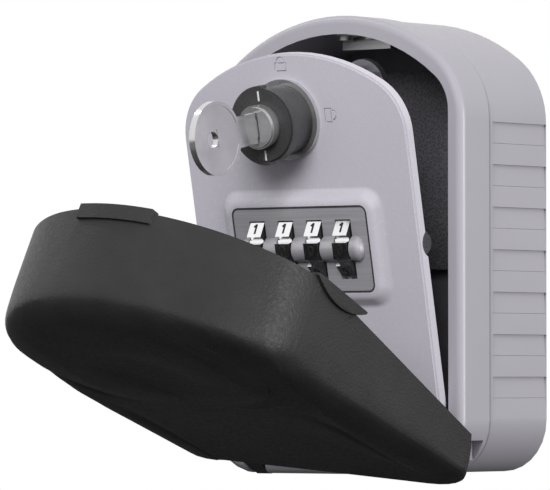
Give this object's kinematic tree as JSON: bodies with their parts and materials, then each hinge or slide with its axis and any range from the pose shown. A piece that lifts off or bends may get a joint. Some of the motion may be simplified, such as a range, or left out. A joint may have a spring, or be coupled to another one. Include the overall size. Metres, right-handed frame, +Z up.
{
  "type": "key box",
  "caption": "Wall key box with number wheels, a key lock, a hinged door and a drop-down rubber weather cover.",
  "frame": {"origin": "on the wall plane, at the middle of the four wall holes", "axes": "+X to the right seen from the front, +Y into the wall, +Z up"},
  "size_m": [0.091, 0.1479, 0.1244],
  "materials": {
    "case_paint": "satin",
    "door_paint": "satin",
    "dial_metal": "brushed",
    "wheel_chrome": "polished",
    "bright_metal": "polished",
    "steel": "satin",
    "brass": "satin",
    "black_plastic": "matte",
    "cover_rubber": "matte",
    "lining_black": "matte",
    "foam": "matte"
  },
  "bodies": {
    "case": {"case_shell": "case_paint", "back_lining": "lining_black", "foam_pad": "foam", "strike_plate": "steel", "strike_screws": "steel", "hinge_pin": "steel"},
    "door": {"door_plate": "door_paint", "dial_faceplate": "dial_metal", "dial_housing": "black_plastic", "housing_cover": "steel", "housing_screws": "steel", "detent_spring": "steel", "lock_sleeve": "bright_metal", "sleeve_nut": "steel"},
    "cover": {"weather_cover": "cover_rubber"},
    "knob": {"knob_grip": "black_plastic", "knob_shaft": "steel", "eccentric_disc": "steel", "shaft_clip": "steel"},
    "plug": {"key_plug": "bright_metal", "plug_wafers": "brass", "latch_cam": "bright_metal", "cam_screw": "steel"},
    "key": {"service_key": "bright_metal"},
    "wheel_1": {"number_wheel_1": "wheel_chrome"},
    "wheel_2": {"number_wheel_2": "wheel_chrome"},
    "wheel_3": {"number_wheel_3": "wheel_chrome"},
    "wheel_4": {"number_wheel_4": "wheel_chrome"},
    "carriage": {"wheel_axle": "steel", "code_hub_1": "brass", "code_hub_2": "brass", "code_hub_3": "brass", "code_hub_4": "brass", "reset_button": "black_plastic", "axle_clip": "steel"},
    "fence": {"fence_plate": "steel"}
  },
  "joints": [
    {"name": "door_hinge", "type": "hinge", "parent": "case", "child": "door", "pos_m": [0, -0.036, -0.055], "axis": [1, 0, 0], "range_deg": [-11.5, 30]},
    {"name": "cover_hinge", "type": "hinge", "parent": "case", "child": "cover", "pos_m": [0, -0.036, -0.055], "axis": [1, 0, 0], "range_deg": [-26, 37]},
    {"name": "knob_turn", "type": "hinge", "parent": "door", "child": "knob", "pos_m": [-0.0015, -0.05402, 0.03358], "axis": [0, -0.9799, -0.1994], "range_deg": [0, 90]},
    {"name": "plug_turn", "type": "hinge", "parent": "knob", "child": "plug", "pos_m": [-0.0015, -0.05402, 0.03358], "axis": [0, -0.9799, -0.1994], "range_deg": [0, 90]},
    {"name": "key_pull", "type": "slide", "parent": "plug", "child": "key", "axis": [0, -0.9799, -0.1994], "range_m": [0, 0.03]},
    {"name": "wheel_1_turn", "type": "hinge", "parent": "door", "child": "wheel_1", "pos_m": [0, -0.04652, -0.0003], "axis": [1, 0, 0], "continuous": true},
    {"name": "wheel_2_turn", "type": "hinge", "parent": "door", "child": "wheel_2", "pos_m": [0, -0.04652, -0.0003], "axis": [1, 0, 0], "continuous": true},
    {"name": "wheel_3_turn", "type": "hinge", "parent": "door", "child": "wheel_3", "pos_m": [0, -0.04652, -0.0003], "axis": [1, 0, 0], "continuous": true},
    {"name": "wheel_4_turn", "type": "hinge", "parent": "door", "child": "wheel_4", "pos_m": [0, -0.04652, -0.0003], "axis": [1, 0, 0], "continuous": true},
    {"name": "reset_pull", "type": "slide", "parent": "door", "child": "carriage", "axis": [1, 0, 0], "range_m": [0, 0.0016]},
    {"name": "fence_lift", "type": "slide", "parent": "door", "child": "fence", "axis": [0, -0.1994, 0.9799], "range_m": [0, 0.0026]}
  ],
  "couplings": [
    {"joint": "knob_turn", "follows": "fence_lift", "rad_per_m": 604.1}
  ]
}
